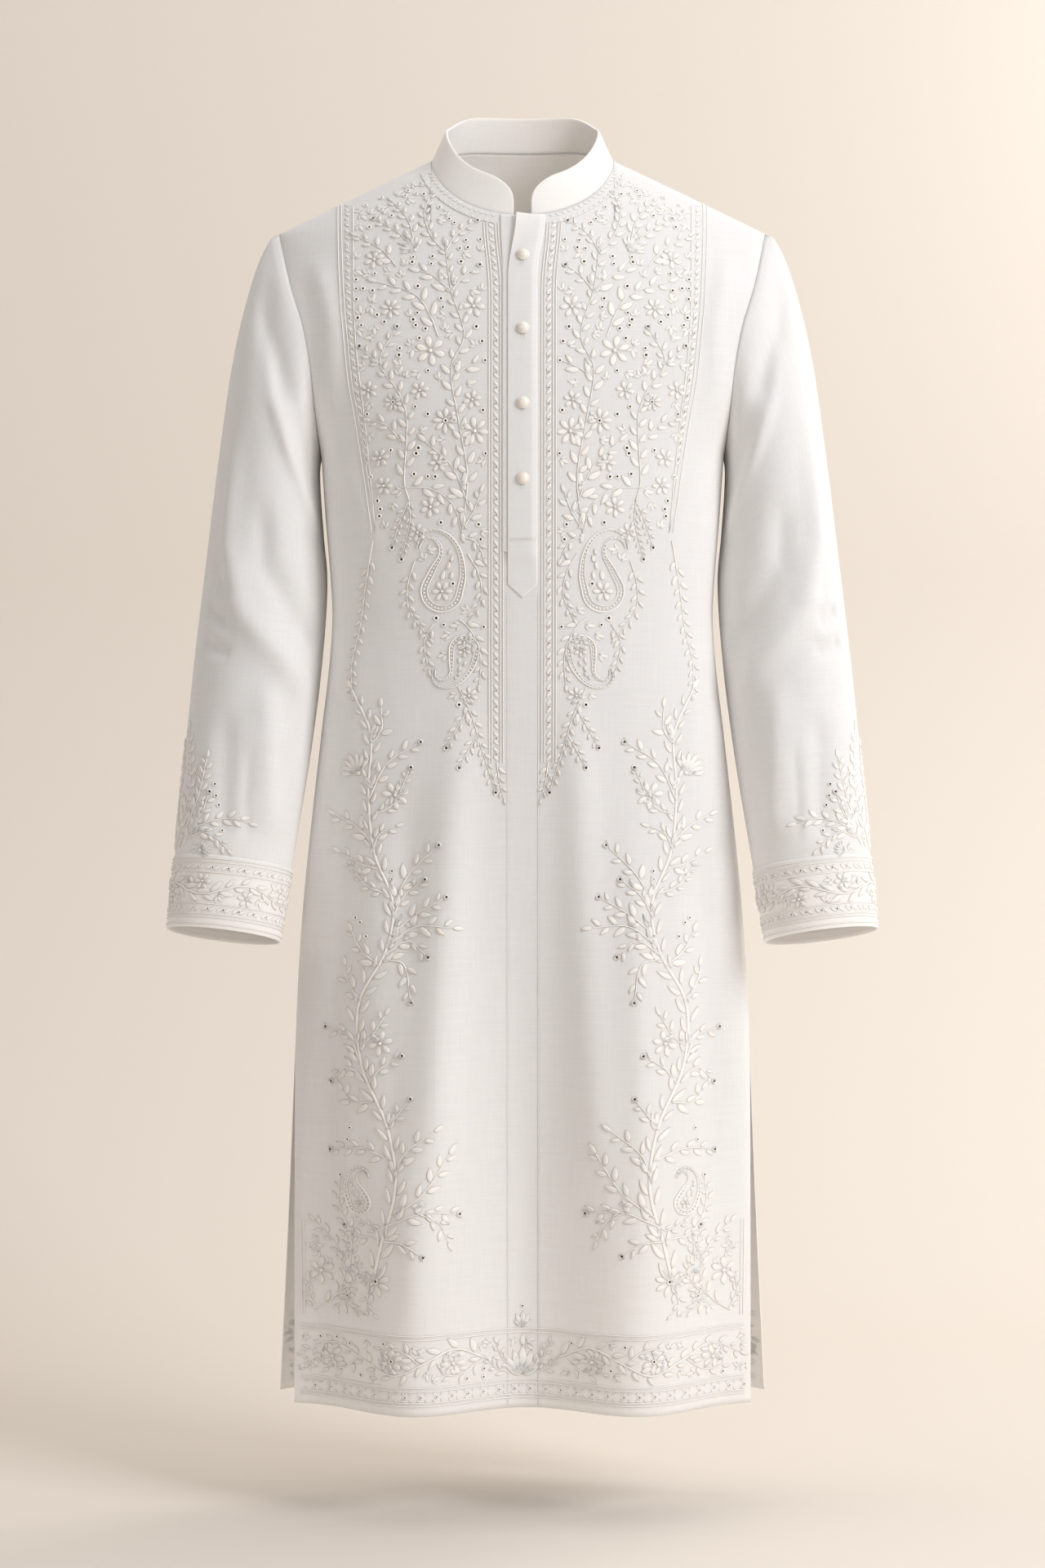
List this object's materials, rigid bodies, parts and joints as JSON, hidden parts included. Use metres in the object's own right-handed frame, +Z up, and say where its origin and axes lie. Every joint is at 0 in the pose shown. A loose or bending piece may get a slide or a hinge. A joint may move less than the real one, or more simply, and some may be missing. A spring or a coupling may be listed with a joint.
{
  "type": "embroidered kurta",
  "caption": "Long-sleeved, knee-length kurta filled out as worn, with a band collar, a buttoned front placket with a pointed tab, straight cuff bands and open side slits.",
  "frame": {"origin": "middle of the neck, at the height where the shoulder seams meet the collar", "axes": "+Z up, -Y to the front, +X to the garment's own left, which is the viewer's right"},
  "size_m": [0.6006, 0.2137, 1.1027],
  "materials": {
    "cotton": "fine off-white cotton with a soft sheen, plain weave",
    "band": "the same cotton, doubled and pressed, smoother",
    "pearl": "pearly off-white, polished"
  },
  "bodies": {
    "root": {"front": "cotton", "back": "cotton", "sleeve_left": "cotton", "sleeve_right": "cotton", "cuff_left": "cotton", "cuff_right": "cotton", "collar": "band", "placket": "band", "placket_under": "band", "button_1": "pearl", "button_2": "pearl", "button_3": "pearl", "button_4": "pearl"}
  },
  "joints": []
}
